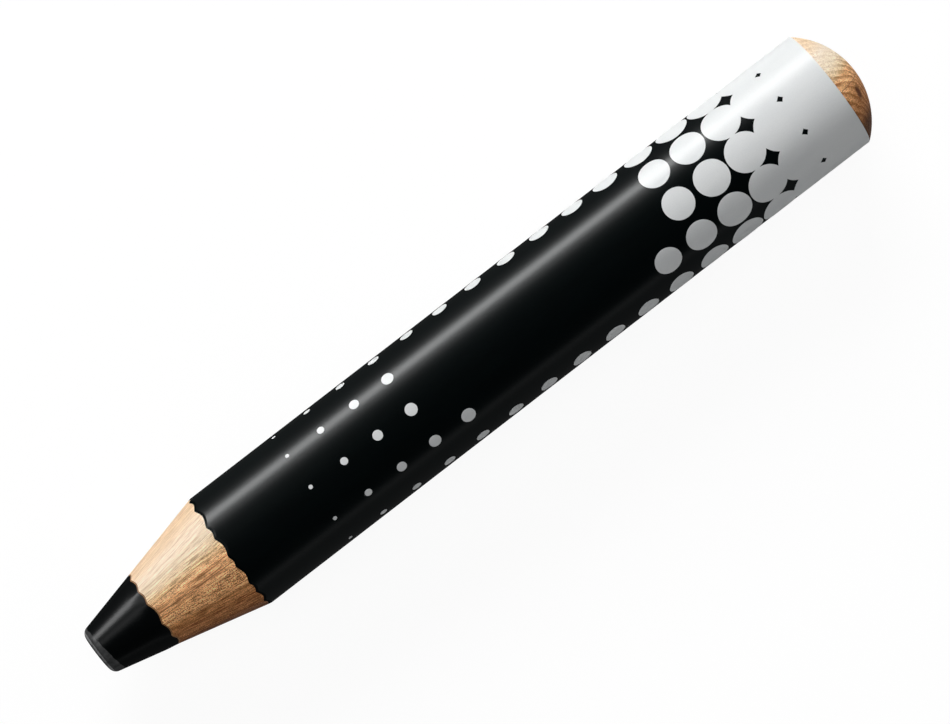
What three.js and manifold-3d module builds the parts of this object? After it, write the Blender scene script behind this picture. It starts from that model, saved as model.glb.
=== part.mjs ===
// A jumbo wood-cased marking pencil: two grooved wood halves glued round a thick black lead, a coat
// of black lacquer, and a silver print that closes up at the rear. The front is sharpened to a blunt
// cone through lacquer, wood and lead, and the rear end is a dome of bare wood.
// Millimetres, +Z up. The pencil lies along X with its tip towards -X, and rests on z = 0.
import * as THREE from "three";
import { mergeVertices } from "three/addons/utils/BufferGeometryUtils.js";
import Module from "manifold-3d";

const wasm = await Module();
wasm.setup();

// The pencil as a whole
const PENCIL_LENGTH = 110;
const CASING_DIAMETER = 15;
const DOME_HEIGHT = 3.5; // the rounded rear end, from its rim to its top

// The lead and what bonds it
const LEAD_DIAMETER = 9.8;
const SOLID_REAR = 12; // wood behind the end of the lead, up to the top of the dome
const LEAD_GLUE = 0.03; // thickness round the lead
const SEAM_GLUE = 0.06; // thickness between the two halves
const SEAM_TURN = 8.7; // degrees that the glue seam leans from upright, towards -Y

// The coats on the casing
const LACQUER_THICKNESS = 0.08;
const LACQUER_SETBACK = 0.15; // bare casing between the lacquer's rear edge and the dome
const PRINT_THICKNESS = 0.02;
const COAT_GAP = 0.01; // between any two layers that are bonded to each other

// The sharpened front
const CONE_HALF_ANGLE = 13.6; // degrees
const TIP_DIAMETER = 5.88; // of the cone, where it would meet the plane of the tip
const TIP_ROUNDING = 1; // radius of the worn edge of the tip
const FLUTES = 21; // shallow strokes of the sharpening blade, side by side round the cone
const FLUTE_DEPTH = 0.07;

// The silver print: a halftone of round dots, which merge towards the rear edge. A cell is the width
// of one row of dots, measured round the barrel.
const PRINT_ROWS = 10; // rows of dots along the pencil
const PRINT_TURN = -1.5; // degrees of one row from the top of the pencil, towards -Y
const PITCH_TO_CELL = 1.0025; // from one column of dots to the next, as a share of a cell
const MERGED_DOTS = [0.504, 0.598, 0.694]; // radius to cell of the columns that touch, front to rear
const LAST_COLUMN_SETBACK = 3.2; // from the last column's centre to the lacquer's rear edge

// Steps of the faceted surfaces
const ROUND_STEPS = 72; // even, so that a flat facet lies underneath
const STEPS_PER_FLUTE = 4;
const TIP_STEPS = 5;
const DOME_STEPS = 7;
const DOT_STEPS = 28;
const OVERRUN = 5; // how far a cutting shape runs past what it cuts

const casingRadius = CASING_DIAMETER / 2;
const leadRadius = LEAD_DIAMETER / 2;
const leadEnd = PENCIL_LENGTH - SOLID_REAR;
const lacquerInside = casingRadius + COAT_GAP;
const lacquerOutside = lacquerInside + LACQUER_THICKNESS;
const lacquerEnd = PENCIL_LENGTH - DOME_HEIGHT - LACQUER_SETBACK;
const printInside = lacquerOutside + COAT_GAP;
const printOutside = printInside + PRINT_THICKNESS;
const printCell = (2 * Math.PI * printOutside) / PRINT_ROWS;
const columnPitch = PITCH_TO_CELL * printCell;
const cutReach = printOutside + OVERRUN;
const coneSlope = Math.tan(THREE.MathUtils.degToRad(CONE_HALF_ANGLE));
const axisHeight = printOutside * Math.cos(Math.PI / ROUND_STEPS);

// A profile of [radius, distance from the tip] points, turned round the X axis. Its first corner is
// half a facet away from the top of the pencil.
function turned(profile, steps = ROUND_STEPS, firstCorner = Math.PI / steps) {
  const points = profile.map(([radius, along]) => new THREE.Vector2(radius, along));
  return new THREE.LatheGeometry(points, steps, firstCorner).rotateZ(-Math.PI / 2);
}

// A solid rod round the X axis.
function rod(radius, from, to) {
  return turned([[0, from], [radius, from], [radius, to], [0, to]]);
}

// A tube round the X axis.
function tube(inside, outside, from, to) {
  return turned([[inside, from], [outside, from], [outside, to], [inside, to], [inside, from]]);
}

// A closed geometry as a solid that can be cut and joined.
function solid(geometry) {
  geometry.deleteAttribute("normal");
  geometry.deleteAttribute("uv");
  const merged = mergeVertices(geometry);
  return new wasm.Manifold(
    new wasm.Mesh({
      numProp: 3,
      vertProperties: merged.getAttribute("position").array,
      triVerts: new Uint32Array(merged.index.array),
    }),
  );
}

// A finished solid as a named mesh with flat facets.
function named(name, piece, material) {
  const { vertProperties, triVerts } = piece.getMesh();
  const indexed = new THREE.BufferGeometry();
  indexed.setAttribute("position", new THREE.BufferAttribute(vertProperties, 3));
  indexed.setIndex(new THREE.BufferAttribute(triVerts, 1));
  const geometry = indexed.toNonIndexed();
  geometry.computeVertexNormals();
  const mesh = new THREE.Mesh(geometry, material);
  mesh.name = name;
  return mesh;
}

// Points of an arc in [radius, distance from the tip], both ends included.
function arc(centre, radius, fromAngle, toAngle, steps) {
  return Array.from({ length: steps + 1 }, (_, i) => {
    const angle = THREE.MathUtils.lerp(fromAngle, toAngle, i / steps);
    return [centre[0] + radius * Math.sin(angle), centre[1] - radius * Math.cos(angle)];
  });
}

// The space that is left after sharpening: the tip's flat face and worn edge, then a cone with the
// blade's shallow strokes, which start behind the worn edge and are at full depth where wood begins.
function sharpened() {
  const tipRadius = TIP_DIAMETER / 2;
  const flatRadius = tipRadius + TIP_ROUNDING * (coneSlope - Math.hypot(1, coneSlope));
  const coneAngle = Math.atan(coneSlope);
  const wornEdge = arc([flatRadius, TIP_ROUNDING], TIP_ROUNDING, 0, Math.PI / 2 - coneAngle, TIP_STEPS);
  const fluted = Math.max(leadRadius, wornEdge.at(-1)[0] + FLUTE_DEPTH);
  const onCone = (radius) => [radius, (radius - tipRadius) / coneSlope];
  const rear = PENCIL_LENGTH + OVERRUN;
  const cone = turned(
    [[0, 0], ...wornEdge, onCone(fluted), onCone(cutReach), [cutReach, rear], [0, rear]],
    FLUTES * STEPS_PER_FLUTE,
    0,
  );
  return pressFlutes(cone, (wornEdge.at(-1)[0] + fluted) / 2);
}

// Presses hollow strokes, side by side, into every ring of a turned shape that is wider than given.
// The first ridge between two strokes is on top of the pencil.
function pressFlutes(shape, widerThan) {
  const position = shape.getAttribute("position");
  const point = new THREE.Vector3();
  for (let i = 0; i < position.count; i++) {
    point.fromBufferAttribute(position, i);
    const radius = Math.hypot(point.y, point.z);
    if (radius < widerThan) continue;
    const turn = (Math.atan2(-point.y, point.z) / (2 * Math.PI)) * FLUTES;
    const across = turn - Math.floor(turn);
    const share = 1 - (FLUTE_DEPTH * 4 * across * (1 - across)) / radius;
    position.setXYZ(i, point.x, point.y * share, point.z * share);
  }
  return shape;
}

// The whole casing before it is split, grooved and sharpened, with its domed rear end.
function casingBlank() {
  const domeRadius = (casingRadius ** 2 + DOME_HEIGHT ** 2) / (2 * DOME_HEIGHT);
  const rimAngle = Math.PI - Math.asin(casingRadius / domeRadius);
  const dome = arc([0, PENCIL_LENGTH - domeRadius], domeRadius, rimAngle, Math.PI, DOME_STEPS);
  return turned([[0, 0], [casingRadius, 0], ...dome.slice(0, -1), [0, PENCIL_LENGTH]]);
}

// A box on one side of the glue seam, with the given distances of its faces from the seam.
function besideSeam(near, far) {
  return new THREE.BoxGeometry(PENCIL_LENGTH + 2 * OVERRUN, far - near, 2 * cutReach)
    .translate(PENCIL_LENGTH / 2, (near + far) / 2, 0)
    .rotateX(THREE.MathUtils.degToRad(SEAM_TURN));
}

// The lead, from the flat of the tip to its blind end.
function lead(front) {
  return solid(rod(leadRadius, 0, leadEnd)).intersect(front);
}

// One half of the casing: side is 1 for the half towards +Y, and -1 for the other.
function casingHalf(front, side) {
  const near = SEAM_GLUE / 2 + COAT_GAP;
  const half = side > 0 ? besideSeam(near, cutReach) : besideSeam(-cutReach, -near);
  const room = LEAD_GLUE + 2 * COAT_GAP;
  return solid(casingBlank())
    .intersect(solid(half))
    .subtract(solid(rod(leadRadius + room, -OVERRUN, leadEnd + room)))
    .intersect(front);
}

// The glue: a sleeve round the lead, closed behind it, with a film on each side between the halves.
function glue(front) {
  const outside = COAT_GAP + LEAD_GLUE;
  return solid(rod(leadRadius + outside, 0, leadEnd + outside))
    .add(solid(besideSeam(-SEAM_GLUE / 2, SEAM_GLUE / 2)))
    .intersect(solid(casingBlank()))
    .subtract(solid(rod(leadRadius + COAT_GAP, -OVERRUN, leadEnd + COAT_GAP)))
    .intersect(front);
}

// The black coat, from the sharpened edge to just before the dome.
function lacquer(front) {
  return solid(tube(lacquerInside, lacquerOutside, 0, lacquerEnd)).intersect(front);
}

// One printed dot as a bar from the axis outwards. It is narrowed across, so that the dot is as wide
// round the barrel as it is long.
function dotBar(radius, along, row) {
  const across = (printOutside * Math.sin(radius / printOutside)) / radius;
  return new THREE.CylinderGeometry(radius, radius, cutReach, DOT_STEPS)
    .rotateX(Math.PI / 2)
    .scale(1, across, 1)
    .translate(along, 0, cutReach / 2)
    .rotateX(THREE.MathUtils.degToRad(PRINT_TURN + (360 * row) / PRINT_ROWS));
}

// The part of the print whose dots touch: its front edge is scalloped, four-pointed gaps stay open
// between the first columns, and the last column closes it.
function closedPrint() {
  const lastColumn = lacquerEnd - LAST_COLUMN_SETBACK;
  let inked = solid(rod(cutReach, lastColumn, lacquerEnd));
  MERGED_DOTS.forEach((share, i) => {
    const along = lastColumn - (MERGED_DOTS.length - 1 - i) * columnPitch;
    for (let row = 0; row < PRINT_ROWS; row++)
      inked = inked.add(solid(dotBar(share * printCell, along, row)));
  });
  return solid(tube(printInside, printOutside, 0, lacquerEnd)).intersect(inked);
}

const black = new THREE.MeshStandardMaterial({ color: 0x0b0d0e, roughness: 0.28 });
const graphite = new THREE.MeshStandardMaterial({ color: 0x17181a, roughness: 0.45 });
const wood = new THREE.MeshStandardMaterial({ color: 0xd2a878, roughness: 0.7 });
const dryGlue = new THREE.MeshStandardMaterial({ color: 0x9a6a45, roughness: 0.6 });
const silver = new THREE.MeshStandardMaterial({
  color: 0xd4d6d8,
  roughness: 0.4,
  metalness: 0.2,
});

const front = solid(sharpened());
const pencil = new THREE.Group();
pencil.add(
  named("lead_core", lead(front), graphite),
  named("glue_film", glue(front), dryGlue),
  named("casing_half_left", casingHalf(front, 1), wood),
  named("casing_half_right", casingHalf(front, -1), wood),
  named("barrel_lacquer", lacquer(front), black),
  named("silver_print", closedPrint(), silver),
);
pencil.position.set(-PENCIL_LENGTH / 2, 0, axisHeight);

export default pencil;
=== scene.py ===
"""The looks of a jumbo marking pencil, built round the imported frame.

In the meshes below, lengths are millimetres from the writing tip, radii are millimetres from the
pencil's axis, and turns are radians from the top of the pencil towards -Y.
"""

import bisect
import math

import bmesh
import bpy
from mathutils import Matrix, Vector


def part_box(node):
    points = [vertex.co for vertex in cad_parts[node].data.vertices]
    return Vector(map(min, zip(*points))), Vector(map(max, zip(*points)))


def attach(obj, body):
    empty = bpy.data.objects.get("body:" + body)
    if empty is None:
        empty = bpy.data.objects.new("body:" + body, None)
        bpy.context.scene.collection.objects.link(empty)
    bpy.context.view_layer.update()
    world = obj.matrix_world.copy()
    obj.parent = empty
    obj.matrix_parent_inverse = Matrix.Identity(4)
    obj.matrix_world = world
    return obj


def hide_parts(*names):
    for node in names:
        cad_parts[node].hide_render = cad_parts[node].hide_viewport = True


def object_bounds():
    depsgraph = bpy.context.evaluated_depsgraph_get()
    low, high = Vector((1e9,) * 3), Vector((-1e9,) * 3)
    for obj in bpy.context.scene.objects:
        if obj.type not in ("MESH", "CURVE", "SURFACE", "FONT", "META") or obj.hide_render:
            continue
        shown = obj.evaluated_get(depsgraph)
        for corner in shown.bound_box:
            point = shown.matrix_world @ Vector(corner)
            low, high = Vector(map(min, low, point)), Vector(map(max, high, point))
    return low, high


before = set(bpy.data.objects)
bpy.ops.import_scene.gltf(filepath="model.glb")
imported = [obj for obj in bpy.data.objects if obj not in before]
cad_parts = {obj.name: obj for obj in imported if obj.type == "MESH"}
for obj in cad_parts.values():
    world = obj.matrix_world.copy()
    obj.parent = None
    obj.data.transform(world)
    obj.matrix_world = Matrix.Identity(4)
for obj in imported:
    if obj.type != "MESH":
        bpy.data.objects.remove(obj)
cad_low, cad_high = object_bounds()

MM = 0.001

# Driving sizes that the frame's boxes don't give, as the CAD solids have them
CAD_FACETS = 72  # round each solid, whose flats lie just inside the true round
DOME_HEIGHT = 3.5
TIP_DIAMETER = 5.88  # of the cone, where it would meet the plane of the tip
TIP_ROUNDING = 1.0  # radius of the worn edge of the tip
CONE_HALF_ANGLE = math.radians(13.6)
SEAM_TURN = math.radians(8.7)  # where the two halves of the casing meet
SEAM_GLUE = 0.06  # thickness of the glue between the halves
LEAD_GLUE = 0.03  # thickness of the glue round the lead
COAT_GAP = 0.01  # between any two layers that are bonded to each other
LACQUER_THICKNESS = 0.08
PRINT_THICKNESS = 0.02


def round_radius(node):
    """The true radius of a round solid of the frame, in mm."""
    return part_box(node)[1].y / MM / math.cos(math.pi / CAD_FACETS)


def end_of(node):
    """How far a solid of the frame reaches from the tip, in mm."""
    return (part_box(node)[1].x - cad_low.x) / MM


# Sizes from the frame
TIP_X = cad_low.x
AXIS_Z = (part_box("silver_print")[0].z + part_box("silver_print")[1].z) / 2
LENGTH = end_of("casing_half_left")
LEAD_END = end_of("lead_core")
COAT_END = end_of("barrel_lacquer")
LEAD_RADIUS = round_radius("lead_core")
CASING_RADIUS = round_radius("casing_half_left")
COAT_RADIUS = round_radius("barrel_lacquer")
PRINT_RADIUS = round_radius("silver_print")

TIP_RADIUS = TIP_DIAMETER / 2
CONE_SLOPE = math.tan(CONE_HALF_ANGLE)
LEAD_EDGE = (LEAD_RADIUS - TIP_RADIUS) / CONE_SLOPE
SHOULDER = (CASING_RADIUS - TIP_RADIUS) / CONE_SLOPE
GLUE_INSIDE = LEAD_RADIUS + COAT_GAP
GLUE_OUTSIDE = GLUE_INSIDE + LEAD_GLUE
GROOVE_RADIUS = GLUE_OUTSIDE + COAT_GAP
GLUE_END = LEAD_END + COAT_GAP + LEAD_GLUE
GROOVE_END = GLUE_END + COAT_GAP

# The strokes of the sharpening blade leave ridges on the cone, at these turns in degrees where they
# cross the edge of the lead and the edge of the lacquer. Evenly spaced ridges fill the rest.
RIDGES_AT_LEAD = (-60, -33, -12, 22, 47)
RIDGES_AT_SHOULDER = (-74, -54, -30, -17, 3, 14, 34, 47, 66)
SPACING_AT_LEAD = 27
SPACING_AT_SHOULDER = 17
STROKE_DEPTH = 0.07  # of a stroke as wide as that spacing; wider ones are deeper
STROKE_WEAR = 1.3  # above 1 the ridges are worn
FADE_LENGTH = 2.2  # the strokes end this far into the lead

# The silver print: a halftone whose round dots grow towards the rear, until they merge
PRINT_ROWS = 10
PRINT_TURN = math.radians(-1.5)
PRINT_CELL = 2 * math.pi * PRINT_RADIUS / PRINT_ROWS  # the width of one row round the barrel
PITCH_TO_CELL = 1.0025  # from one column of dots to the next, as a share of a cell
COLUMN_PITCH = PITCH_TO_CELL * PRINT_CELL
LAST_COLUMN = 15
LAST_COLUMN_SETBACK = 3.2  # from its centre to the rear edge of the lacquer
SMALLEST_DOT = 0.25  # radius
EARLY_GROWTH = 0.8  # below 1 the first dots grow quickest
EVEN_COLUMN = 9  # from here the dots grow evenly
EVEN_DOT = 1.45  # radius there
TOUCHING_DOTS = (0.504, 0.598, 0.694)  # radius to cell of the last three columns
FIRST_TOUCHING = LAST_COLUMN - len(TOUCHING_DOTS) + 1
BARE_PANEL = {-1: (4, 10), 0: (4, 10), 1: (5, 9)}  # row: first and last column with no dot

# Steps of the meshes
ROUND_STEPS = 720
FLAT_STEPS = 6  # from the middle of the tip's flat to its edge
WORN_STEPS = 16  # over the worn edge of the tip
LEAD_STEPS = 20  # of lead along the cone
WOOD_STEPS = 24  # of wood along the cone
LACQUER_STEPS = 2  # of lacquer along the cone
DOME_STEPS = 28  # from the dome's rim to its top
DOT_STEPS = 20  # across the smallest dots
MORE_DOT_STEPS = 4  # for each column after them
SCALLOP_STEPS = 24  # across half of a merged dot
REACH_ROUNDS = 8  # of finding where the cone has a radius

SMOOTH_BELOW = math.radians(8)  # edges with a sharper angle are shaded as edges
WELD = 1e-8  # metres within which two points become one
SLACK = 1e-9  # for rounding


def place(along, radius, turn):
    """A point of the pencil in metres, in the frame."""
    return (
        TIP_X + along * MM,
        -radius * math.sin(turn) * MM,
        AXIS_Z + radius * math.cos(turn) * MM,
    )


def smooth(share):
    share = min(max(share, 0), 1)
    return share * share * (3 - 2 * share)


def lerp(first, last, share):
    return first + (last - first) * share


# The cone with its strokes


def all_round(ridges, spacing):
    """Ridges right round the cone, in radians: those given, then evenly spaced ones."""
    rest = 360 - (ridges[-1] - ridges[0])
    count = round(rest / spacing)
    added = [ridges[-1] + rest * i / count for i in range(1, count)]
    return [math.radians(turn) for turn in [*ridges, *added]]


LEAD_RIDGES = all_round(RIDGES_AT_LEAD, SPACING_AT_LEAD)
SHOULDER_RIDGES = all_round(RIDGES_AT_SHOULDER, SPACING_AT_SHOULDER)


def stroke_depth(ridges, spacing, turn):
    """How far a hollow stroke lies below the ridges beside it, which are a little worn."""
    turn = (turn - ridges[0]) % math.tau + ridges[0]
    i = bisect.bisect_right(ridges, turn) - 1
    start = ridges[i]
    end = ridges[i + 1] if i + 1 < len(ridges) else ridges[0] + math.tau
    across = (turn - start) / (end - start)
    deepest = STROKE_DEPTH * (end - start) / math.radians(spacing)
    return deepest * math.sin(math.pi * across) ** STROKE_WEAR


def cut_depth(along, turn):
    """The strokes fade out on the waxy lead, and change their ridges between lead and lacquer."""
    at_lead = stroke_depth(LEAD_RIDGES, SPACING_AT_LEAD, turn)
    if along < LEAD_EDGE:
        return at_lead * smooth((along - LEAD_EDGE + FADE_LENGTH) / FADE_LENGTH) ** 2
    at_shoulder = stroke_depth(SHOULDER_RIDGES, SPACING_AT_SHOULDER, turn)
    return lerp(at_lead, at_shoulder, min((along - LEAD_EDGE) / (SHOULDER - LEAD_EDGE), 1))


def cone_radius(along, turn):
    return TIP_RADIUS + CONE_SLOPE * along - cut_depth(along, turn)


def cone_reach(radius, turn):
    """How far from the tip the cone has this radius. Each round brings the answer closer."""
    along = (radius - TIP_RADIUS) / CONE_SLOPE
    for _ in range(REACH_ROUNDS):
        along = (radius - TIP_RADIUS + cut_depth(along, turn)) / CONE_SLOPE
    return along


def on_cone(inner, outer, turn, steps):
    """Points [along, radius] on the cone between two radii."""
    start = cone_reach(inner, turn)
    end = cone_reach(outer, turn)
    places = [lerp(start, end, i / steps) for i in range(steps + 1)]
    return [[along, cone_radius(along, turn)] for along in places]


# Meshes


def in_scene(name, mesh):
    """Puts a mesh in the scene as a smoothly shaded object."""
    data = bpy.data.meshes.new(name)
    mesh.to_mesh(data)
    mesh.free()
    data.shade_smooth()
    made = bpy.data.objects.new(name, data)
    bpy.context.scene.collection.objects.link(made)
    return made


def finished(name, mesh):
    """Welds a mesh, points its faces outwards and makes it a piece with its sharp edges marked."""
    bmesh.ops.remove_doubles(mesh, verts=mesh.verts, dist=WELD)
    bmesh.ops.recalc_face_normals(mesh, faces=mesh.faces)
    piece = in_scene(name, mesh)
    piece.data.set_sharp_from_angle(angle=SMOOTH_BELOW)
    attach(piece, "root")
    return piece


def bridge(mesh, left, right):
    """Faces between two rows of equally many vertices."""
    for i in range(len(left) - 1):
        mesh.faces.new((left[i], left[i + 1], right[i + 1], right[i]))


def grid(mesh, columns, closed):
    """Faces between neighbouring columns of points. Returns the columns as vertices."""
    placed = [[mesh.verts.new(point) for point in column] for column in columns]
    pairs = list(zip(placed, placed[1:]))
    if closed:
        pairs.append((placed[-1], placed[0]))
    for left, right in pairs:
        bridge(mesh, left, right)
    return placed


def turned(name, profile_at):
    """A piece turned round the axis, whose profile [along, radius] may vary with the turn."""
    mesh = bmesh.new()
    turns = [math.tau * i / ROUND_STEPS for i in range(ROUND_STEPS)]
    grid(mesh, [[place(*point, turn) for point in profile_at(turn)] for turn in turns], True)
    return finished(name, mesh)


def arc(centre, radius, start, end, steps):
    """Points [along, radius] of an arc, with angles from the way towards the tip."""
    angles = [lerp(start, end, i / steps) for i in range(steps + 1)]
    return [[centre[0] - radius * math.cos(a), centre[1] + radius * math.sin(a)] for a in angles]


# The lead

PAST_WORN = 0.05  # the cone's first ring is this much wider than the end of the worn edge


def lead_profile(turn):
    flat_radius = TIP_RADIUS + TIP_ROUNDING * (CONE_SLOPE - math.hypot(1, CONE_SLOPE))
    worn_angle = math.pi / 2 - CONE_HALF_ANGLE
    worn = arc([TIP_ROUNDING, flat_radius], TIP_ROUNDING, 0, worn_angle, WORN_STEPS)
    flat = [[0, flat_radius * i / FLAT_STEPS] for i in range(FLAT_STEPS)]
    cone = on_cone(worn[-1][1] + PAST_WORN, LEAD_RADIUS, turn, LEAD_STEPS)
    return [*flat, *worn, *cone, [LEAD_END, LEAD_RADIUS], [LEAD_END, 0]]


def make_lead():
    return turned("lead", lead_profile)


# The two halves of the casing, and the glue in the seam


def dome():
    """Points [along, radius] from the rim of the domed end to just before its top."""
    radius = (CASING_RADIUS**2 + DOME_HEIGHT**2) / (2 * DOME_HEIGHT)
    rim = math.asin(CASING_RADIUS / radius)
    return arc([LENGTH - radius, 0], radius, math.pi - rim, math.pi, DOME_STEPS)[:-1]


def outside_of(start_radius, turn):
    """The outer profile of the casing, from the cone to the dome."""
    cone = on_cone(start_radius, CASING_RADIUS, turn, WOOD_STEPS)
    return [*cone, *dome()]


def seam_place(along, radius, share, offset):
    """A point of one half: share 0 and 1 lie on its seam face, offset from the seam's plane."""
    side = math.copysign(1, offset)
    edge = math.asin(min(abs(offset) / radius, 1))
    return place(along, radius, SEAM_TURN - side * lerp(edge, math.pi - edge, share))


def half_turn(share, offset):
    """The turn at a share of the way round one half, from one side of the seam to the other."""
    return SEAM_TURN - math.copysign(math.pi, offset) * share


def half_column(share, offset):
    """One profile of a half of the casing, from the groove's end round the outside to the top."""
    outside = outside_of(GROOVE_RADIUS, half_turn(share, offset))
    middle = abs(offset)
    profile = [
        [GROOVE_END, middle],
        [GROOVE_END, GROOVE_RADIUS],
        *outside,
        [LENGTH, middle],
    ]
    return [seam_place(*point, share, offset) for point in profile]


def make_casing_half(name, side):
    """One half of the casing. Side is 1 for the half towards +Y, and -1 for the other."""
    mesh = bmesh.new()
    steps = ROUND_STEPS // 2
    offset = side * (SEAM_GLUE / 2 + COAT_GAP)
    placed = grid(mesh, [half_column(i / steps, offset) for i in range(steps + 1)], False)
    mesh.faces.new([*placed[0], *reversed(placed[-1][1:-1])])
    return finished(name, mesh)


def glue_side(mesh, offset):
    """One half of the sleeve, and the film's face on that side. Returns the half's front rim and
    the two edges of the film."""
    steps = ROUND_STEPS // 2
    film = abs(offset)
    columns = []
    for i in range(steps + 1):
        front = cone_reach(GLUE_OUTSIDE, half_turn(i / steps, offset))
        profile = [[front, GLUE_OUTSIDE], [GLUE_END, GLUE_OUTSIDE], [GLUE_END, film]]
        columns.append([seam_place(*point, i / steps, offset) for point in profile])
    placed = grid(mesh, columns, False)
    edges = []
    for share in (0, 1):
        profile = outside_of(GLUE_OUTSIDE, half_turn(share, offset))[1:]
        edges.append([mesh.verts.new(seam_place(*point, share, offset)) for point in profile])
    top = mesh.verts.new(seam_place(LENGTH, film, 0, offset))
    first = [placed[0][0], *edges[0], top]
    last = [placed[-1][0], *edges[1], top]
    mesh.faces.new([*first, *reversed(last[:-1]), *placed[-1][1:], placed[0][1]])
    return [column[0] for column in placed], (first, last)


def make_glue():
    """A sleeve round the lead, closed behind it, with a film that runs out through the seam."""
    mesh = bmesh.new()
    left_rim, left_edges = glue_side(mesh, SEAM_GLUE / 2)
    right_rim, right_edges = glue_side(mesh, -SEAM_GLUE / 2)
    for left, right in zip(left_edges, right_edges):
        bridge(mesh, left, right)
    glue_bore(mesh, [*left_rim, *reversed(right_rim)])
    return finished("glue", mesh)


def glue_bore(mesh, rim):
    """The inside of the sleeve, joined to the rim of its outside, and the cap behind the lead."""
    end = LEAD_END + COAT_GAP
    columns = []
    for outer in rim:
        turn = math.atan2(-outer.co.y, outer.co.z - AXIS_Z)
        front = cone_reach(GLUE_INSIDE, turn)
        profile = [[front, GLUE_INSIDE], [end, GLUE_INSIDE], [end, 0]]
        columns.append([outer.co[:], *(place(*point, turn) for point in profile)])
    grid(mesh, columns, True)


# The lacquer


def lacquer_profile(turn):
    inside = COAT_RADIUS - LACQUER_THICKNESS
    bevel = LACQUER_THICKNESS / 2
    cut = on_cone(inside, COAT_RADIUS, turn, LACQUER_STEPS)
    rear = [[COAT_END - bevel, COAT_RADIUS], [COAT_END, COAT_RADIUS - bevel], [COAT_END, inside]]
    return [*cut, *rear, cut[0]]


def make_lacquer():
    return turned("lacquer", lacquer_profile)


# The silver print


def column_place(column):
    """Distance of a column of dots from the tip."""
    return COAT_END - LAST_COLUMN_SETBACK - (LAST_COLUMN - column) * COLUMN_PITCH


def dot_radius(column):
    """The dots grow quickly at first, then evenly until they touch."""
    if column <= EVEN_COLUMN:
        return lerp(SMALLEST_DOT, EVEN_DOT, (column / EVEN_COLUMN) ** EARLY_GROWTH)
    if column < FIRST_TOUCHING:
        full = TOUCHING_DOTS[0] * PRINT_CELL
        return lerp(EVEN_DOT, full, (column - EVEN_COLUMN) / (FIRST_TOUCHING - EVEN_COLUMN))
    return TOUCHING_DOTS[column - FIRST_TOUCHING] * PRINT_CELL


def half_chord(radius, across):
    return math.sqrt(max(radius**2 - across**2, 0))


def dot_strips(row, column):
    """One round dot as cuts across it: [along, along, distance round the barrel]."""
    centre = row * PRINT_CELL
    radius = dot_radius(column)
    steps = DOT_STEPS + MORE_DOT_STEPS * column
    middle = column_place(column)
    strip = []
    for i in range(steps + 1):
        a = math.pi * (i / steps - 0.5)
        reach = radius * math.cos(a)
        strip.append([middle - reach, middle + reach, centre + radius * math.sin(a)])
    return strip


def touching_columns():
    """Where neighbouring columns of touching dots meet: the place, and how far it runs across."""
    meets = []
    for column in range(FIRST_TOUCHING, LAST_COLUMN):
        first, second = dot_radius(column), dot_radius(column + 1)
        meet = (COLUMN_PITCH**2 + first**2 - second**2) / (2 * COLUMN_PITCH)
        meets.append([column_place(column) + meet, half_chord(first, meet)])
    return meets


def closed_strips():
    """The merged part of the print as one list of cuts for each column of its dots."""
    meets = touching_columns()
    half = PRINT_CELL / 2
    even_cuts = {half * i / SCALLOP_STEPS for i in range(SCALLOP_STEPS + 1)}
    cuts = sorted(even_cuts | {across for _, across in meets})
    sides = [*(-cut for cut in reversed(cuts)), *cuts[1:]]
    around = [row * PRINT_CELL + side for row in range(PRINT_ROWS) for side in sides]
    strips = []
    for number, column in enumerate(range(FIRST_TOUCHING, LAST_COLUMN + 1)):
        strip = []
        for place_round in around:
            across = abs((place_round + half) % PRINT_CELL - half)
            reach = half_chord(dot_radius(column), across)
            start, end = column_place(column) - reach, column_place(column) + reach
            if number > 0 and across <= meets[number - 1][1] + SLACK:
                start = meets[number - 1][0]
            if number < len(meets) and across <= meets[number][1] + SLACK:
                end = meets[number][0]
            if column == LAST_COLUMN:
                end = COAT_END
            strip.append([start, end, place_round])
        strips.append(strip)
    return strips


def ink(mesh, strips):
    """Adds a strip of cuts to the print's outer face."""
    def spot(along, around):
        return mesh.verts.new(place(along, PRINT_RADIUS, PRINT_TURN + around / PRINT_RADIUS))

    placed = [(spot(start, around), spot(end, around)) for start, end, around in strips]
    for (a, b), (c, d) in zip(placed, placed[1:]):
        mesh.faces.new((a, b, d, c))


def thicken(mesh):
    """Gives the print's outer face its thickness, inwards."""
    bmesh.ops.remove_doubles(mesh, verts=mesh.verts, dist=WELD)
    faces = list(mesh.faces)
    grown = bmesh.ops.extrude_face_region(mesh, geom=faces, use_keep_orig=True)
    inner = [v for v in grown["geom"] if isinstance(v, bmesh.types.BMVert)]
    share = 1 - PRINT_THICKNESS / PRINT_RADIUS
    for vert in inner:
        vert.co.y *= share
        vert.co.z = AXIS_Z + (vert.co.z - AXIS_Z) * share


def has_dot(row, column):
    """Whether the dot is outside the bare panel. Rows are counted from the top, both ways."""
    signed = row if row <= PRINT_ROWS // 2 else row - PRINT_ROWS
    if signed not in BARE_PANEL:
        return True
    first, last = BARE_PANEL[signed]
    return not first <= column <= last


def make_print():
    mesh = bmesh.new()
    for row in range(PRINT_ROWS):
        for column in range(FIRST_TOUCHING):
            if has_dot(row, column):
                ink(mesh, dot_strips(row, column))
    for strip in closed_strips():
        ink(mesh, strip)
    thicken(mesh)
    return finished("print", mesh)


# Materials. Each texture works in millimetres from the tip along X, and from the axis along Y and Z.


def new_material(name):
    made = bpy.data.materials.new(name)
    made.use_nodes = True
    return made, made.node_tree, made.node_tree.nodes["Principled BSDF"]


def feed(tree, socket, value):
    """Sets a socket to a value, or links it to another node's output."""
    if isinstance(value, bpy.types.NodeSocket):
        tree.links.new(value, socket)
    else:
        socket.default_value = value


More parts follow.
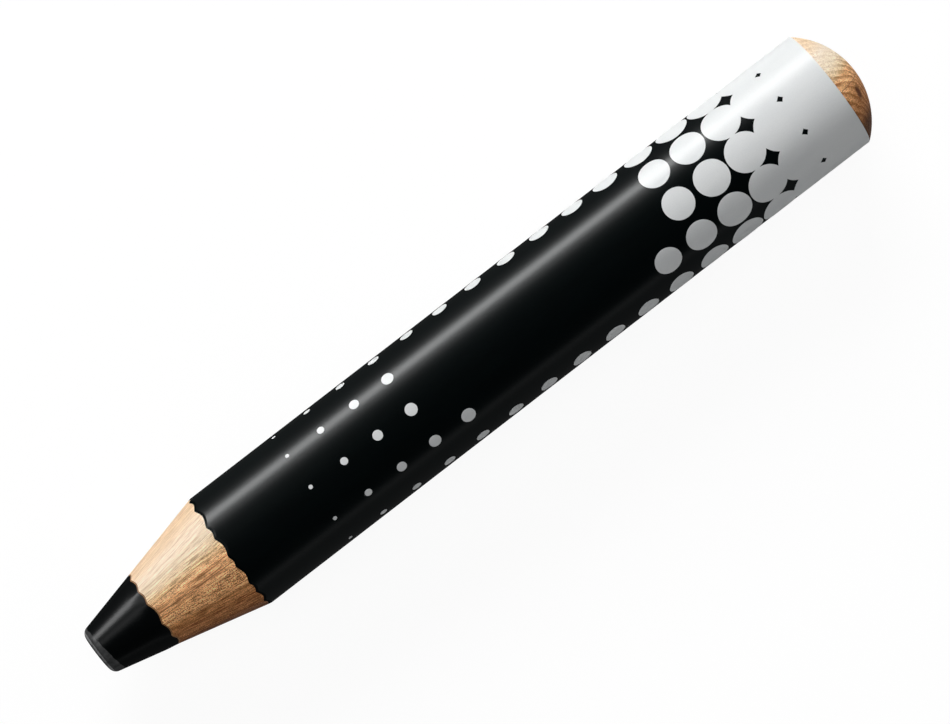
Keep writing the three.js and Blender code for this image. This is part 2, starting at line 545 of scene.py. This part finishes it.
def add(tree, kind, inputs=(), **settings):
    """Adds a node with its settings, then feeds its inputs by name or number."""
    made = tree.nodes.new("ShaderNode" + kind)
    for setting, value in settings.items():
        setattr(made, setting, value)
    for key, value in dict(inputs).items():
        feed(tree, made.inputs[key], value)
    return made


def calc(tree, operation, first, second=0.0, third=0.0):
    inputs = {0: first, 1: second, 2: third}
    return add(tree, "Math", inputs, operation=operation).outputs[0]


def multiplied(tree, first, *others):
    for other in others:
        first = calc(tree, "MULTIPLY", first, other)
    return first


def scaled(tree, value, factor, offset):
    """A value times a factor, plus an offset."""
    return calc(tree, "MULTIPLY_ADD", value, factor, offset)


def span(tree, value, low, high, to_low=0.0, to_high=1.0):
    """Maps low to high onto another span, smoothly and within it."""
    inputs = {"Value": value, "From Min": low, "From Max": high, "To Min": to_low, "To Max": to_high}
    return add(tree, "MapRange", inputs, interpolation_type="SMOOTHSTEP").outputs["Result"]


def span_even(tree, value, low, high):
    """Maps low to high onto 0 to 1, evenly and within it."""
    inputs = {"Value": value, "From Min": low, "From Max": high}
    return add(tree, "MapRange", inputs).outputs["Result"]


def opaque(colour):
    """A plain colour with its alpha, or a node's output as it is."""
    return colour if isinstance(colour, bpy.types.NodeSocket) else (*colour, 1)


def mixed(tree, share, first, second, how="MIX"):
    inputs = {"Factor": share, 6: opaque(first), 7: opaque(second)}
    return add(tree, "Mix", inputs, data_type="RGBA", blend_type=how).outputs[2]


def times(tree, first, second):
    """One colour times another."""
    return mixed(tree, 1.0, first, second, "MULTIPLY")


def ramp(tree, value, stops):
    made = add(tree, "ValToRGB", {0: value})
    elements = made.color_ramp.elements
    while len(elements) < len(stops):
        elements.new(0.5)
    for element, (position, colour) in zip(elements, stops):
        element.position = position
        element.color = opaque(colour)
    return made.outputs[0]


def stretched(tree, point, scale, shift=(0, 0, 0)):
    """A point that is scaled on each axis, then shifted."""
    return add(tree, "Mapping", {"Vector": point, "Scale": scale, "Location": shift}).outputs[0]


def object_point(tree, scale=(1, 1, 1)):
    """The point that is shaded, in mm from the tip and the axis, then scaled."""
    here = add(tree, "TexCoord").outputs["Object"]
    origin = add(tree, "VectorMath", {0: here, 1: (-TIP_X, 0, -AXIS_Z)}, operation="ADD").outputs[0]
    return stretched(tree, origin, [factor / MM for factor in scale])


def noise(tree, vector, scale, detail, rough=0.5):
    inputs = {"Vector": vector, "Scale": scale, "Detail": detail, "Roughness": rough}
    return add(tree, "TexNoise", inputs).outputs[0]


def bumped(tree, shader, height, depth):
    """Bumps a shader by a height of 0 to 1 that stands for this depth in mm."""
    inputs = {"Height": height, "Distance": depth * MM, "Strength": 1.0}
    feed(tree, shader.inputs["Normal"], add(tree, "Bump", inputs).outputs[0])


CLEAR_IOR = 2.0  # of the thin clear layer that gives lead, lacquer and ink all their gloss

# The tip of the lead, worn dull up to a slanted and uneven line, with a painted highlight: a bright
# grey line on its worn edge
RUBBED_END = 1.4
RUBBED_BLEND = 0.1
RUBBED_SLANT = 0.127  # along for each mm across
RUBBED_WANDER = 0.35
# The painted highlight line on the tip's worn edge runs between these places along the tip
HIGHLIGHT_LINE_START = (0.12, 0.2)  # along, from nothing to full
HIGHLIGHT_LINE_END = (0.34, 0.44)  # along, from full to nothing

LEAD_BLACKS = [(0.3, (0.001, 0.0016, 0.0018)), (0.8, (0.002, 0.0028, 0.003))]
RUBBED_GREYS = [(0.3, (0.038, 0.039, 0.04)), (0.75, (0.09, 0.091, 0.092))]
# Painted highlight: the grey of the bright line on the tip's worn edge
PAINTED_HIGHLIGHT_GREY = (0.27, 0.273, 0.276)
LEAD_GRAIN = (1.2, 9, 9)  # cycles per mm
LEAD_DEPTH = 0.006

# On the black lead and where it is rubbed
LEAD_ROUGHNESS = (0.34, 0.62)
LEAD_CLEAR = (0.02, 0.012)
LEAD_CLEAR_ROUGHNESS = 0.26


def lead_material():
    """Waxy black lead, worn dull grey on the flat and the worn edge of the tip, with a painted
    highlight line along that edge.
    """
    made, tree, shader = new_material("black_lead")
    x, y, _ = add(tree, "SeparateXYZ", {0: object_point(tree)}).outputs
    slanted = scaled(tree, y, RUBBED_SLANT, x)
    uneven = scaled(tree, noise(tree, object_point(tree), 1.6, 3), RUBBED_WANDER, slanted)
    worn = span(tree, uneven, RUBBED_END, RUBBED_END - RUBBED_BLEND)
    smear = noise(tree, object_point(tree, (0.6, 1, 1)), 2.2, 6, 0.65)
    # Painted highlight: a patchy bright grey line on the worn edge, between two places along the tip
    past_flat = span(tree, x, *HIGHLIGHT_LINE_START)
    before_cone = span(tree, x, *reversed(HIGHLIGHT_LINE_END))
    patchy = span(tree, noise(tree, object_point(tree), 1.1, 2), 0.36, 0.52, 0.2, 1)
    painted_highlight_line = multiplied(tree, past_flat, before_cone, patchy)
    rubbed_and_highlight = mixed(tree, painted_highlight_line, ramp(tree, smear, RUBBED_GREYS), PAINTED_HIGHLIGHT_GREY)
    feed(tree, shader.inputs["Base Color"], mixed(tree, worn, ramp(tree, smear, LEAD_BLACKS), rubbed_and_highlight))
    feed(tree, shader.inputs["Roughness"], span(tree, worn, 0, 1, *LEAD_ROUGHNESS))
    shader.inputs["Specular IOR Level"].default_value = 0.0
    feed(tree, shader.inputs["Coat Weight"], span(tree, worn, 0, 1, *LEAD_CLEAR))
    shader.inputs["Coat Roughness"].default_value = LEAD_CLEAR_ROUGHNESS
    shader.inputs["Coat IOR"].default_value = CLEAR_IOR
    grain = noise(tree, object_point(tree, LEAD_GRAIN), 1, 4, 0.6)
    bumped(tree, shader, grain, LEAD_DEPTH)
    return made


GLUE_AMBERS = [(0.3, (0.2, 0.09, 0.035)), (0.7, (0.42, 0.22, 0.1))]
GLUE_DEPTH = 0.01


def glue_material():
    """Dried amber wood glue, darker in spots."""
    made, tree, shader = new_material("dried_glue")
    spots = noise(tree, object_point(tree), 3, 4)
    feed(tree, shader.inputs["Base Color"], ramp(tree, spots, GLUE_AMBERS))
    shader.inputs["Roughness"].default_value = 0.55
    shader.inputs["Specular IOR Level"].default_value = 0.05
    bumped(tree, shader, spots, GLUE_DEPTH)
    return made


# The wood. Its colour follows the distance from the dark heart of the tree, off the -Y side. Besides
# the wood's own tone it holds painted shade, darker on the -Y side, and a painted sheen in its palest
# colours near the top of the +Y side.
HEART = (-11, 1)  # the middle of the tree, from the pencil's axis
HEART_RADIUS = 4.8  # where the ramp of colours starts
SAP_RADIUS = 16.6  # where it ends
# Painted shade and painted sheen: the dark end of this ramp falls on the -Y side, and its palest
# stops fall near the top of the +Y side
HEART_TO_SAP_SHADE_AND_SHEEN = [
    (0.0, (0.13, 0.05, 0.018)),
    (0.13, (0.5, 0.22, 0.085)),
    (0.22, (0.61, 0.28, 0.11)),
    (0.3, (0.7, 0.34, 0.135)),
    (0.38, (0.99, 0.54, 0.245)),
    (0.48, (1.0, 0.57, 0.27)),
    (0.61, (1.0, 0.56, 0.27)),
    (0.7, (1.0, 0.71, 0.4)),
    (0.8, (1.0, 0.82, 0.6)),
    (0.9, (0.99, 0.81, 0.63)),
    (1.0, (0.95, 0.7, 0.47)),
]
DARK_WOOD = (15.0, 12.4)  # the heartwood's coarse grain: distances where it is faint and full
COLOUR_WANDER = 1.2  # how far the colours' circles wander
RING_WANDER = 1.5  # how far the growth rings wander
END_GRAIN_REACH = 2  # the dome's look comes in over this length

# On the dome the colours are drawn apart, so its bottom is darker and its top paler: the distance is
# stretched between these two
DOME_STRETCHED = (10.5, 12.5)
DOME_STRETCH = 2.7
DOME_SHIFT = -1.9

# The middle of the growth rings at the tip and at the rear end, from the pencil's axis
LEFT_PITH = ((-11, 1), (-13, 10))
RIGHT_PITH = ((-11.3, 1.2), (-14, 14))
LEFT_RING_WIDTH = 0.7
RIGHT_RING_WIDTH = 0.6
KNOT_PLACE = (108.3, -2.28, 4.95)
KNOT_RADIUS = 0.8
KNOT_RAGGED = 0.6

# Patterns of the grain, in cycles per mm along the pencil and across it
WANDER_SCALE = (0.05, 0.35, 0.35)
PATCH_SCALE = (0.08, 0.7, 0.7)
STREAK_SCALE = (0.07, 1.8, 1.8)
FIBRE_SCALE = (0.5, 9, 9)
SPECK_SCALE = (8, 11, 11)
BAND_SCALE = (0.02, 0.6, 0.6)
PORE_SCALE = (1.2, 9, 9)
STAIN_SCALE = (0.25, 0.6, 0.6)

# What each pattern multiplies the colour by, where it is low and where it is high
PALE_STREAKS = ((0.94, 0.9, 0.84), (1.05, 1.07, 1.09))
DARK_STREAKS = ((0.8, 0.72, 0.64), (1.16, 1.2, 1.24))
PALE_FIBRES = ((0.86, 0.81, 0.75), (1.14, 1.17, 1.2))
DARK_FIBRES = ((0.45, 0.37, 0.3), (1.5, 1.54, 1.58))
SPECKS = ((0.26, 0.2, 0.15), (1.73, 1.75, 1.77))
END_GRAIN_TINT = (1.0, 1.06, 1.12)
LATE_WOOD_TINT = (0.42, 0.27, 0.17)

PORE_BROWN = (0.2, 0.08, 0.025)
STAIN_RED = (0.36, 0.1, 0.03)
KNOT_BROWN = (0.09, 0.03, 0.015)
WOOD_DEPTH = 0.02


def fanned_point(tree):
    """The shaded point with Y and Z shrunk as the cone widens, so that the grain fans out on it."""
    x, y, z = add(tree, "SeparateXYZ", {0: object_point(tree)}).outputs
    widening = scaled(tree, calc(tree, "MINIMUM", x, SHOULDER), CONE_SLOPE, TIP_RADIUS)
    middle_radius = (LEAD_RADIUS + CASING_RADIUS) / 2
    shrink = calc(tree, "DIVIDE", middle_radius, widening)
    sides = {1: multiplied(tree, y, shrink), 2: multiplied(tree, z, shrink)}
    return add(tree, "CombineXYZ", {0: x, **sides}).outputs[0]


def grained(tree, point, scale, detail, rough=0.5, shift=(0, 0, 0)):
    """Noise stretched along the grain. The shift keeps two patterns from falling together."""
    return noise(tree, stretched(tree, point, scale, shift), 1, detail, rough)


def wandering(tree, point, amount):
    """A point moved by the slow wander that makes growth rings uneven."""
    inputs = {"Vector": stretched(tree, point, WANDER_SCALE), "Scale": 1, "Detail": 3}
    slow = add(tree, "TexNoise", inputs).outputs[1]
    centred = add(tree, "VectorMath", {0: slow, 1: (0.5, 0.5, 0.5)}, operation="SUBTRACT").outputs[0]
    moved = add(tree, "VectorMath", {0: centred, "Scale": amount}, operation="SCALE").outputs[0]
    return add(tree, "VectorMath", {0: point, 1: moved}, operation="ADD").outputs[0]


def ring_distance(tree, point, pith_front, pith_rear):
    """Distance from the middle of the tree, whose line leans against the pencil's axis."""
    x, y, z = add(tree, "SeparateXYZ", {0: point}).outputs
    squares = []
    for value, front, rear in zip((y, z), pith_front, pith_rear):
        centre = scaled(tree, x, (rear - front) / LENGTH, front)
        offset = calc(tree, "SUBTRACT", value, centre)
        squares.append(multiplied(tree, offset, offset))
    return calc(tree, "SQRT", calc(tree, "ADD", *squares))


def seam_stain(tree):
    """How much the glue has stained the wood beside the seam, 0 to 1."""
    across = (0, math.cos(SEAM_TURN), math.sin(SEAM_TURN))
    inputs = {0: object_point(tree), 1: across}
    offset = add(tree, "VectorMath", inputs, operation="DOT_PRODUCT").outputs["Value"]
    near = span(tree, calc(tree, "ABSOLUTE", offset), 0.05, 0.5, 1, 0)
    patchy = span(tree, noise(tree, object_point(tree, STAIN_SCALE), 1, 3), 0.42, 0.62)
    return multiplied(tree, near, patchy)


def tinted(tree, colour, value, tints, low=0.3, high=0.7):
    """A colour times a ramp between two tints."""
    return times(tree, colour, ramp(tree, value, list(zip((low, high), tints))))


def ring_lines(tree, point, distance, ring_width, end_grain):
    """The dark late wood of the growth rings, 0 to 1, broken up along each ring."""
    cycle = calc(tree, "FRACT", calc(tree, "DIVIDE", distance, ring_width))
    late = multiplied(tree, span(tree, cycle, 0.25, 0.85), span(tree, cycle, 1.0, 0.9))
    patches = span(tree, grained(tree, point, PATCH_SCALE, 2), 0.38, 0.62, 0.15, 1)
    return multiplied(tree, late, calc(tree, "MAXIMUM", patches, multiplied(tree, end_grain, 0.7)))


def pin_knot(tree):
    """A small dark knot, 0 to 1."""
    inputs = {0: object_point(tree), 1: KNOT_PLACE}
    offset = add(tree, "VectorMath", inputs, operation="SUBTRACT").outputs[0]
    oval = add(tree, "VectorMath", {0: offset, 1: (1, 0.6, 1)}, operation="MULTIPLY").outputs[0]
    distance = add(tree, "VectorMath", {0: oval}, operation="LENGTH").outputs["Value"]
    ragged = scaled(tree, noise(tree, object_point(tree), 2.5, 3), KNOT_RAGGED, distance)
    usual = KNOT_RAGGED / 2
    return span(tree, ragged, KNOT_RADIUS + usual, 0.4 * KNOT_RADIUS + usual, 0, 1)


def ringed_tone(tree, point, end_grain, from_heart, heartwood, pith, ring_width):
    """The wood's colour from heart to sap, with painted shade on the -Y side and a painted sheen near
    the top, and its growth rings. They are faint along the cone, and strong on the end grain of the
    dome."""
    tone = ramp(tree, span_even(tree, from_heart, HEART_RADIUS, SAP_RADIUS), HEART_TO_SAP_SHADE_AND_SHEEN)
    tone = mixed(tree, end_grain, tone, times(tree, tone, END_GRAIN_TINT))
    from_pith = ring_distance(tree, wandering(tree, point, RING_WANDER), *pith)
    rings = ring_lines(tree, point, from_pith, ring_width, end_grain)
    strength = scaled(tree, end_grain, 0.55, 0.35)
    share = multiplied(tree, rings, strength, calc(tree, "MAXIMUM", heartwood, 0.2))
    return mixed(tree, share, tone, times(tree, tone, LATE_WOOD_TINT))


def wood_material(name, pith, ring_width, has_knot=False):
    """Bare softwood: growth rings, long fibres, and short open pores that crowd in the heartwood."""
    made, tree, shader = new_material(name)
    point = fanned_point(tree)
    x, _, _ = add(tree, "SeparateXYZ", {0: point}).outputs
    end_grain = span(tree, x, COAT_END - END_GRAIN_REACH, COAT_END)
    from_heart = ring_distance(tree, wandering(tree, point, COLOUR_WANDER), HEART, HEART)
    drawn_apart = scaled(tree, span_even(tree, from_heart, *DOME_STRETCHED), DOME_STRETCH, DOME_SHIFT)
    from_heart = scaled(tree, end_grain, drawn_apart, from_heart)
    heartwood = span(tree, from_heart, *DARK_WOOD, 0.12, 1)
    ringed = ringed_tone(tree, point, end_grain, from_heart, heartwood, pith, ring_width)

    streaks = grained(tree, point, STREAK_SCALE, 3, 0.6)
    pale_streaks = tinted(tree, ringed, streaks, PALE_STREAKS)
    dark_streaks = tinted(tree, ringed, streaks, DARK_STREAKS)
    streaked = mixed(tree, heartwood, pale_streaks, dark_streaks)
    fibres = grained(tree, point, FIBRE_SCALE, 2, 0.55)
    pale_fibres = tinted(tree, streaked, fibres, PALE_FIBRES)
    dark_fibres = tinted(tree, streaked, fibres, DARK_FIBRES, 0.35, 0.65)
    rough_grain = multiplied(tree, heartwood, scaled(tree, end_grain, -0.6, 1))
    fibred = mixed(tree, rough_grain, pale_fibres, dark_fibres)

    specks = grained(tree, point, SPECK_SCALE, 1, 0.6, (3, 1, 2))
    specked = tinted(tree, fibred, specks, SPECKS, 0.36, 0.64)
    bands = span(tree, grained(tree, point, BAND_SCALE, 1, shift=(5, 2, 4)), 0.4, 0.55, 0.6, 1)
    near_heart = span(tree, from_heart, 12.8, 10.6, 0.45, 1)
    coarse = mixed(tree, multiplied(tree, rough_grain, bands, near_heart), fibred, specked)
    pores = span(tree, grained(tree, point, PORE_SCALE, 1, shift=(7, 3, 5)), 0.57, 0.66)
    pored = mixed(tree, multiplied(tree, pores, heartwood, 0.4), coarse, PORE_BROWN)
    stained = mixed(tree, multiplied(tree, seam_stain(tree), 0.55), pored, STAIN_RED)
    if has_knot:
        stained = mixed(tree, multiplied(tree, pin_knot(tree), 0.9), stained, KNOT_BROWN)
    feed(tree, shader.inputs["Base Color"], stained)

    feed(tree, shader.inputs["Roughness"], span(tree, fibres, 0.3, 0.7, 0.78, 0.62))
    shader.inputs["Specular IOR Level"].default_value = 0.05
    height = calc(tree, "SUBTRACT", fibres, multiplied(tree, pores, 0.8))
    bumped(tree, shader, height, WOOD_DEPTH)
    return made


VARNISH = 0.035  # the share of light that meets the varnish
CUT_VARNISH = 0.3 * VARNISH  # on the lacquer's cut edge
CUT_DEPTH = (0.006, 0.002)  # below the surface, where that edge is fully dull and fully glossy


def varnished(shader, rough):
    """The thin satin varnish over lacquer and ink, which gives them all their gloss."""
    shader.inputs["Specular IOR Level"].default_value = 0.0
    shader.inputs["Coat Weight"].default_value = VARNISH
    shader.inputs["Coat Roughness"].default_value = rough
    shader.inputs["Coat IOR"].default_value = CLEAR_IOR


LACQUER_BLACKS = [(0.3, (0.0004, 0.0017, 0.0019)), (0.7, (0.0007, 0.0024, 0.0026))]
LACQUER_DEPTH = 0.002


def lacquer_material():
    """Black lacquer with the faint waviness of a dipped coat, dull where it is cut."""
    made, tree, shader = new_material("black_lacquer")
    cloud = noise(tree, object_point(tree, (0.3, 1, 1)), 0.8, 3)
    feed(tree, shader.inputs["Base Color"], ramp(tree, cloud, LACQUER_BLACKS))
    feed(tree, shader.inputs["Roughness"], span(tree, cloud, 0.3, 0.7, 0.4, 0.5))
    varnished(shader, rough=0.28)
    _, y, z = add(tree, "SeparateXYZ", {0: object_point(tree)}).outputs
    squares = calc(tree, "ADD", multiplied(tree, y, y), multiplied(tree, z, z))
    dull, glossy = (COAT_RADIUS - depth for depth in CUT_DEPTH)
    gloss = span(tree, calc(tree, "SQRT", squares), dull, glossy, CUT_VARNISH, VARNISH)
    feed(tree, shader.inputs["Coat Weight"], gloss)
    waves = noise(tree, object_point(tree, (0.6, 1, 1)), 1.3, 2)
    bumped(tree, shader, waves, LACQUER_DEPTH)
    return made


SILVERS = [(0.25, (0.76, 0.775, 0.775)), (0.75, (0.81, 0.825, 0.825))]
SILVER_CLOUDS = [(0.3, (0.975, 0.98, 0.985)), (0.7, (1.02, 1.02, 1.02))]
INK_DEPTH = 0.0015


def print_material():
    """Satin silver ink with fine metal grains."""
    made, tree, shader = new_material("silver_ink")
    grains = noise(tree, object_point(tree), 9, 2, 0.7)
    cloud = noise(tree, object_point(tree, (0.3, 1, 1)), 0.5, 2)
    colour = times(tree, ramp(tree, grains, SILVERS), ramp(tree, cloud, SILVER_CLOUDS))
    feed(tree, shader.inputs["Base Color"], colour)
    feed(tree, shader.inputs["Roughness"], span(tree, grains, 0.3, 0.7, 0.4, 0.5))
    varnished(shader, rough=0.34)
    bumped(tree, shader, grains, INK_DEPTH)
    return made


# The pieces, each standing for its solid of the frame


def dressed(piece, node, material):
    piece.data.materials.append(material)
    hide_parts(node)


def make_pencil():
    left_wood = wood_material("wood_left", LEFT_PITH, LEFT_RING_WIDTH)
    right_wood = wood_material("wood_right", RIGHT_PITH, RIGHT_RING_WIDTH, has_knot=True)
    dressed(make_lead(), "lead_core", lead_material())
    dressed(make_glue(), "glue_film", glue_material())
    dressed(make_casing_half("casing_left", 1), "casing_half_left", left_wood)
    dressed(make_casing_half("casing_right", -1), "casing_half_right", right_wood)
    dressed(make_lacquer(), "barrel_lacquer", lacquer_material())
    dressed(make_print(), "silver_print", print_material())


# The stage: a plain pale floor that rises into a low wall all round

FLOOR_RADIUS = 1.6  # metres
WALL_RADIUS = 2.0
WALL_HEIGHT = 0.42
FLOOR_RINGS = (0, 0.2, 0.8)  # radii of the flat floor's own rings
RISE_STEPS = 12
STAGE_STEPS = 96  # round the stage
STAGE_WELD = 1e-6
BACKDROP_GLOW = 0.93  # share of white that shows whatever the light is
BACKDROP_SHADE = 0.1  # share that takes the light and the object's shadow
BACKDROP_BOUNCE = 0.8  # how pale the stage is for the light that it throws on the object


def grey(level):
    return (level, level, level, 1)


def stage_material():
    """White where the camera, a mirror or glass sees it, with the shadow; plain pale otherwise."""
    made, tree, shader = new_material("pale_backdrop")
    shader.inputs["Base Color"].default_value = grey(BACKDROP_BOUNCE)
    shader.inputs["Roughness"].default_value = 0.9
    shader.inputs["Specular IOR Level"].default_value = 0.0
    shaded = add(tree, "BsdfDiffuse", {"Color": grey(BACKDROP_SHADE)}).outputs[0]
    glow = add(tree, "Emission", {"Color": grey(1), "Strength": BACKDROP_GLOW}).outputs[0]
    seen = add(tree, "AddShader", {0: shaded, 1: glow}).outputs[0]
    path = add(tree, "LightPath").outputs
    mirrored = calc(tree, "MAXIMUM", path["Is Glossy Ray"], path["Is Transmission Ray"])
    straight = calc(tree, "MAXIMUM", path["Is Camera Ray"], mirrored)
    chosen = add(tree, "MixShader", {0: straight, 1: shader.outputs[0], 2: seen}).outputs[0]
    feed(tree, tree.nodes["Material Output"].inputs["Surface"], chosen)
    return made


def make_stage():
    mesh = bmesh.new()
    rise = WALL_RADIUS - FLOOR_RADIUS
    profile = [[radius, 0] for radius in FLOOR_RINGS]
    for i in range(RISE_STEPS + 1):
        a = math.pi / 2 * i / RISE_STEPS
        profile.append([FLOOR_RADIUS + rise * math.sin(a), rise - rise * math.cos(a)])
    profile.append([WALL_RADIUS, WALL_HEIGHT])
    columns = []
    for i in range(STAGE_STEPS):
        a = math.tau * i / STAGE_STEPS
        columns.append([(r * math.cos(a), r * math.sin(a), z) for r, z in profile])
    grid(mesh, columns, True)
    bmesh.ops.remove_doubles(mesh, verts=mesh.verts, dist=STAGE_WELD)
    bmesh.ops.recalc_face_normals(mesh, faces=mesh.faces)
    bmesh.ops.reverse_faces(mesh, faces=mesh.faces)
    floor = in_scene("floor", mesh)
    floor.data.materials.append(stage_material())


# Light and camera


def lamp(name, direction, distance, size, level, shift=0.0, sees_diffuse=True, sees_gloss=True):
    """A rectangular lamp in this direction from the pencil, which it faces. Level is the white
    that it alone would give a white card that faces it. The shift moves it along the pencil."""
    data = bpy.data.lights.new(name, "AREA")
    data.shape = "RECTANGLE"
    data.size, data.size_y = size
    data.energy = level * (math.pi * distance) ** 2
    made = bpy.data.objects.new(name, data)
    away = Vector(direction).normalized()
    made.location = Vector((shift, 0, AXIS_Z)) + away * distance
    made.rotation_euler = away.to_track_quat("Z", "Y").to_euler()
    made.visible_camera = False
    made.visible_diffuse = sees_diffuse
    made.visible_glossy = sees_gloss
    bpy.context.scene.collection.objects.link(made)


def leaning(degrees, along=0.0):
    """A direction that leans from upright towards +Y, and by a share of its length along X."""
    lean = math.radians(degrees)
    return (along, math.sin(lean), math.cos(lean))


def gloss_lamp(name, direction, **settings):
    """A lamp that shows only as a highlight."""
    lamp(name, direction, sees_diffuse=False, **settings)


ROOM_GREY = (0.15, 0.151, 0.153)


def make_lights():
    """The first two light the pencil and the floor. The others are its long and short highlights."""
    lamp("key", leaning(60, 0.3), distance=0.8, size=(0.5, 0.3), level=0.8, sees_gloss=False)
    lamp("fill", leaning(6), distance=0.8, size=(0.9, 0.5), level=0.235, sees_gloss=False)
    gloss_lamp("strip", leaning(72.4), distance=0.35, size=(0.3, 0.085), level=6.3, shift=0.05)
    gloss_lamp("shoulder", leaning(55), distance=0.35, size=(0.3, 0.03), level=0.24, shift=0.05)
    gloss_lamp("glint", leaning(64, -0.45), distance=0.4, size=(0.14, 0.12), level=3.0, shift=-0.05)
    gloss_lamp("sheen", leaning(26, -0.45), distance=0.4, size=(0.14, 0.15), level=0.5, shift=-0.05)
    gloss_lamp("rim", leaning(-84), distance=0.35, size=(0.5, 0.05), level=0.13, shift=-0.08)
    world = bpy.data.worlds.new("dim_room")
    world.use_nodes = True
    world.node_tree.nodes["Background"].inputs["Color"].default_value = opaque(ROOM_GREY)
    bpy.context.scene.world = world


CAMERA_HEIGHT = 0.5635  # metres above the pencil's axis
CAMERA_ALONG = -0.014  # it stands a little towards the tip, and looks back at the middle
SENSOR_WIDTH = 36  # mm
CAMERA_LENS = 185.45  # mm
CLIP_START = 0.01
CLIP_END = 10
CAMERA_TURN = math.radians(-37.63)
AIM = (-0.00022, 0.00004)  # X and Y of the picture's middle, at the level of the pencil's axis


def make_camera():
    data = bpy.data.cameras.new("camera")
    data.sensor_width = SENSOR_WIDTH
    data.lens = CAMERA_LENS
    data.clip_start = CLIP_START
    data.clip_end = CLIP_END
    camera = bpy.data.objects.new("camera", data)
    camera.location = (AIM[0] + CAMERA_ALONG, AIM[1], AXIS_Z + CAMERA_HEIGHT)
    tilt = Matrix.Rotation(math.atan(CAMERA_ALONG / CAMERA_HEIGHT), 3, "Y")
    camera.rotation_euler = (tilt @ Matrix.Rotation(CAMERA_TURN, 3, "Z")).to_euler()
    bpy.context.scene.collection.objects.link(camera)
    bpy.context.scene.camera = camera


make_camera()
make_pencil()
make_stage()
make_lights()
bpy.context.scene.view_settings.view_transform = "Standard"
